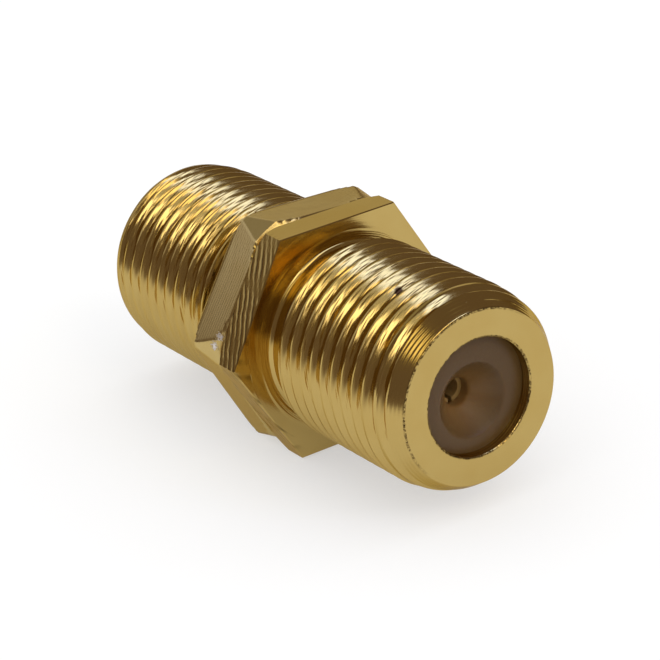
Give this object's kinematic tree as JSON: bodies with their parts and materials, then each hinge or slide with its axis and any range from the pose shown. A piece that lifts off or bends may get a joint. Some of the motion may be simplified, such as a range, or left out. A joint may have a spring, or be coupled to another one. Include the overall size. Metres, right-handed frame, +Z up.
{
  "type": "f connector",
  "caption": "Gold-plated female to female F coupler with threaded ports, hex flange and a jam nut for panel mounting.",
  "frame": {"origin": "centre of the overall box, on the connector's axis", "axes": "+X along the axis out of the front port, +Z up from a hex flat, right-handed"},
  "size_m": [0.0242, 0.0126, 0.0112],
  "materials": {
    "gold_plate": "bright gold plate over turned brass, machining lines",
    "gold_plate_nut": "bright gold plate, worn at one corner",
    "insulator_plastic": "milky translucent plastic",
    "contact_brass": "dull plated spring brass"
  },
  "bodies": {
    "shell": {"body": "gold_plate", "front_insulator": "insulator_plastic", "rear_insulator": "insulator_plastic", "contact": "contact_brass"},
    "nut": {"hex_nut": "gold_plate_nut"}
  },
  "joints": [
    {"name": "nut_travel", "type": "slide", "parent": "shell", "child": "nut", "axis": [-1, 0, 0], "range_m": [0, 0.0102]}
  ]
}
